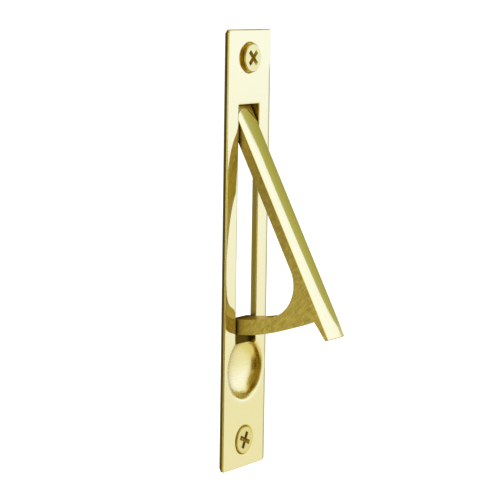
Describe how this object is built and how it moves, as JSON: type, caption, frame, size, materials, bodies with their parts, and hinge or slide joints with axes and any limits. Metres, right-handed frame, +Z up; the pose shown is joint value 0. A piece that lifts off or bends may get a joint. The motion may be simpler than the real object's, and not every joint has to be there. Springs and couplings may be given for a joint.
{
  "type": "pocket door edge pull",
  "caption": "Brass edge pull for a pocket door: a slim face plate with a slot, a finger scoop and a lever that swings out on a pin as a hooked handle.",
  "frame": {"origin": "middle of the screw pattern on the face plate's back, the face that seats in the door edge", "axes": "+Z up along the plate, +Y into the door edge, +X to the right seen from the front"},
  "size_m": [0.0254, 0.0463, 0.1524],
  "materials": {
    "plate_brass": "polished",
    "lever_brass": "polished front, cast sides",
    "pin_brass": "drawn",
    "screw_brass": "polished"
  },
  "bodies": {
    "plate": {"face_plate": "plate_brass", "pivot_pin": "pin_brass", "upper_screw": "screw_brass", "lower_screw": "screw_brass"},
    "lever": {"pull_lever": "lever_brass"}
  },
  "joints": [
    {"name": "lever_swing", "type": "hinge", "parent": "plate", "child": "lever", "pos_m": [0, 0.0013, 0.0442], "axis": [1, 0, 0], "range_deg": [0, 27.8]}
  ]
}
